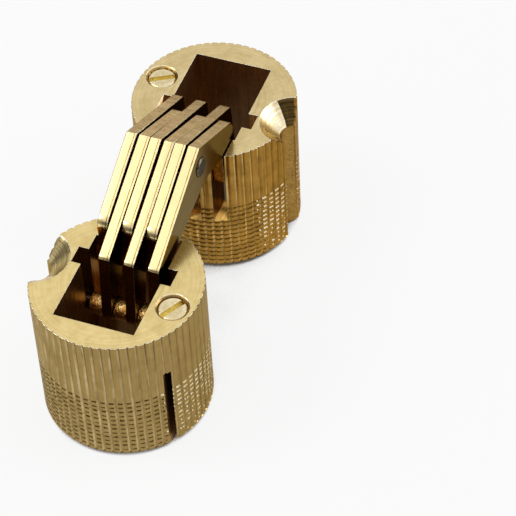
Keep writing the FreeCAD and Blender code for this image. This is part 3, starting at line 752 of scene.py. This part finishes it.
# %% [markdown]
# ## Floor
# The hinge stands on white paper. Bright lamps would bleach the brass, so the
# paper's whiteness is in its own material: rays from the camera and from the
# polished metal see it at its full paleness, with a faint shadow, and all other
# light falls on a plain white surface. Where the object closes in on the paper
# from nearly all sides, as under a pocket, an Ambient Occlusion node darkens
# it, or the open pockets would glow.

# %% Make the floor
FLOOR_HALF = 2.0
PALE = linear("#F9F9F9")
SHADED = linear("#544A40")
SHADE_REACH = 30  # mm
SHADE_SPAN = (0.25, 0.42)
GLOW_SHARE = 0.9
corners = [(x * FLOOR_HALF, y * FLOOR_HALF, 0) for x, y in ((-1, -1), (1, -1), (1, 1), (-1, 1))]
floor_mesh = bpy.data.meshes.new("floor")
floor_mesh.from_pydata(corners, [], [(0, 1, 2, 3)])
floor = bpy.data.objects.new("floor", floor_mesh)
bpy.context.scene.collection.objects.link(floor)

# %% Paint the floor
floor_material, tree = new_material("pale_floor")
path = add_node(tree, "ShaderNodeLightPath").outputs
seen = add_node(tree, "ShaderNodeMath", {
    0: path["Is Camera Ray"], 1: path["Is Glossy Ray"]}, operation="MAXIMUM").outputs[0]
seen = add_node(tree, "ShaderNodeMath", {
    0: seen, 1: path["Is Transmission Ray"]}, operation="MAXIMUM").outputs[0]
shade = add_node(tree, "ShaderNodeAmbientOcclusion", {"Distance": SHADE_REACH * MM}, samples=8)
shade = level(tree, shade.outputs["AO"], *SHADE_SPAN)
shaded = add_node(tree, "ShaderNodeMix", {0: shade, 6: SHADED, 7: PALE}, data_type="RGBA").outputs[2]
paint = add_node(tree, "ShaderNodeBsdfDiffuse", {"Color": PALE})
seen_paint = add_node(tree, "ShaderNodeBsdfDiffuse", {"Color": shaded})
glow = add_node(tree, "ShaderNodeEmission", {"Color": shaded, "Strength": 1.0})
lit = add_node(tree, "ShaderNodeMixShader", {0: GLOW_SHARE, 1: seen_paint.outputs[0], 2: glow.outputs[0]})
chosen = add_node(tree, "ShaderNodeMixShader", {0: seen, 1: paint.outputs[0], 2: lit.outputs[0]})
add_node(tree, "ShaderNodeOutputMaterial", {"Surface": chosen.outputs[0]})
floor_mesh.materials.append(floor_material)
print("floor %.0f m wide" % (2 * FLOOR_HALF))

# %% [markdown]
# ## The studio round the hinge
# Metal shows what is round it, so the studio is part of the finish. The world
# is dim at the horizon and brightens upwards. A black flag low on the side that
# the picture is taken from gives the upright faces their contrast, a dark
# corner lies behind on the left, and a bright card on the right gives the edges
# their glints. Each is worked out from the cosine of the angle to its middle,
# stretched to run from 0 to 1.

# %% World
SKY_STRENGTHS = (0.38, 1.12)
FLAG_TOWARDS = (-0.925, -0.379, 0.0)
FLAG_STRENGTH = 0.12
DARK_TOWARDS, DARK_ANGLES, DARK_STRENGTH = (0.34, 0.94, 0.1), (18, 36), 0.06
CARD_TOWARDS, CARD_ANGLES, CARD_STRENGTH = (0.45, -0.85, 0.25), (15, 28), 3.5
world = bpy.data.worlds.new("studio")
bpy.context.scene.world = world
world.use_nodes = True
tree = world.node_tree
tree.nodes.clear()
direction = add_node(tree, "ShaderNodeTexCoord").outputs["Generated"]


def cosine_to(towards):
    """Cosine of the angle between the view direction and a unit direction: their dot product."""
    return add_node(tree, "ShaderNodeVectorMath", {0: direction, 1: towards}, operation="DOT_PRODUCT").outputs[1]


def lobe(towards, angles):
    """1 within the inner angle of a direction, 0 beyond the outer one, in degrees, smooth between."""
    inner, outer = (math.cos(math.radians(angle)) for angle in angles)
    return add_node(tree, "ShaderNodeMapRange", {
        "Value": cosine_to(Vector(towards).normalized()), 1: outer, 2: inner},
        interpolation_type="SMOOTHSTEP").outputs[0]


def laid_over(sky, where, strength):
    """The sky's strength, changed to another one where a mask is 1."""
    return add_node(tree, "ShaderNodeMix", {0: where, 2: sky, 3: strength}).outputs[0]


height = add_node(tree, "ShaderNodeSeparateXYZ", {0: direction}).outputs[2]
sky = add_node(tree, "ShaderNodeMapRange", {
    "Value": height, 1: 0.0, 2: 0.95, 3: SKY_STRENGTHS[0], 4: SKY_STRENGTHS[1]}).outputs[0]
beside = level(tree, cosine_to(FLAG_TOWARDS), 0.3, 0.7)
below = level(tree, height, 0.62, 0.42)
flag = add_node(tree, "ShaderNodeMath", {0: beside, 1: below}, operation="MULTIPLY").outputs[0]
sky = laid_over(sky, flag, FLAG_STRENGTH)
sky = laid_over(sky, lobe(DARK_TOWARDS, DARK_ANGLES), DARK_STRENGTH)
sky = laid_over(sky, lobe(CARD_TOWARDS, CARD_ANGLES), CARD_STRENGTH)
background = add_node(tree, "ShaderNodeBackground", {"Color": (1, 1, 1, 1), "Strength": sky})
add_node(tree, "ShaderNodeOutputWorld", {"Surface": background.outputs["Background"]})
print("world has", len(tree.nodes), "nodes")

# %% [markdown]
# ## Lamp
# One softbox high on the left gives the top faces their even gold. It is weak
# enough that a colour renders about as it is written.

# %% Softbox
lamp = bpy.data.lights.new("softbox", "AREA")
lamp.shape = "SQUARE"
lamp.size = 0.4
lamp.energy = 1.9
softbox = bpy.data.objects.new("softbox", lamp)
softbox.location = (-0.2, 0.45, 0.55)
softbox.rotation_mode = "QUATERNION"
softbox.rotation_quaternion = (Vector((0, 0, 0.01)) - softbox.location).to_track_quat("-Z", "Y")
bpy.context.scene.collection.objects.link(softbox)
print("softbox %.1f W" % lamp.energy)

# %% [markdown]
# ## Camera
# The camera looks at a point between the barrels from 48 degrees up, through a
# long lens, so that the two barrels look nearly the same size. Its frame is
# built from three unit vectors, turned by the roll about the line of sight:
# right' = right cos a + up sin a, and up' = up cos a - right sin a.

# %% Place the camera
CAMERA_TARGET = Vector((-6.137, -15.638, 20.0)) * MM
CAMERA_DISTANCE = 317.8 * MM
CAMERA_HEADING = math.radians(22.33)
CAMERA_ELEVATION = math.radians(47.79)
CAMERA_ROLL = math.radians(-3.058)
CAMERA_LENS = 161.886

forward = Vector((
    math.cos(CAMERA_ELEVATION) * math.cos(CAMERA_HEADING),
    math.cos(CAMERA_ELEVATION) * math.sin(CAMERA_HEADING),
    -math.sin(CAMERA_ELEVATION),
))
right = forward.cross(Vector((0, 0, 1))).normalized()
upward = right.cross(forward)
rolled_right = right * math.cos(CAMERA_ROLL) + upward * math.sin(CAMERA_ROLL)
rolled_up = upward * math.cos(CAMERA_ROLL) - right * math.sin(CAMERA_ROLL)
camera_data = bpy.data.cameras.new("camera")
camera_data.lens = CAMERA_LENS
camera_data.sensor_width = 36.0
camera = bpy.data.objects.new("camera", camera_data)
turn = Matrix((rolled_right, rolled_up, -forward)).transposed()
camera.matrix_world = Matrix.Translation(CAMERA_TARGET - forward * CAMERA_DISTANCE) @ turn.to_4x4()
bpy.context.scene.collection.objects.link(camera)
bpy.context.scene.camera = camera
bpy.context.scene.view_settings.view_transform = "Standard"
print("camera %.0f mm from its target" % (CAMERA_DISTANCE / MM))
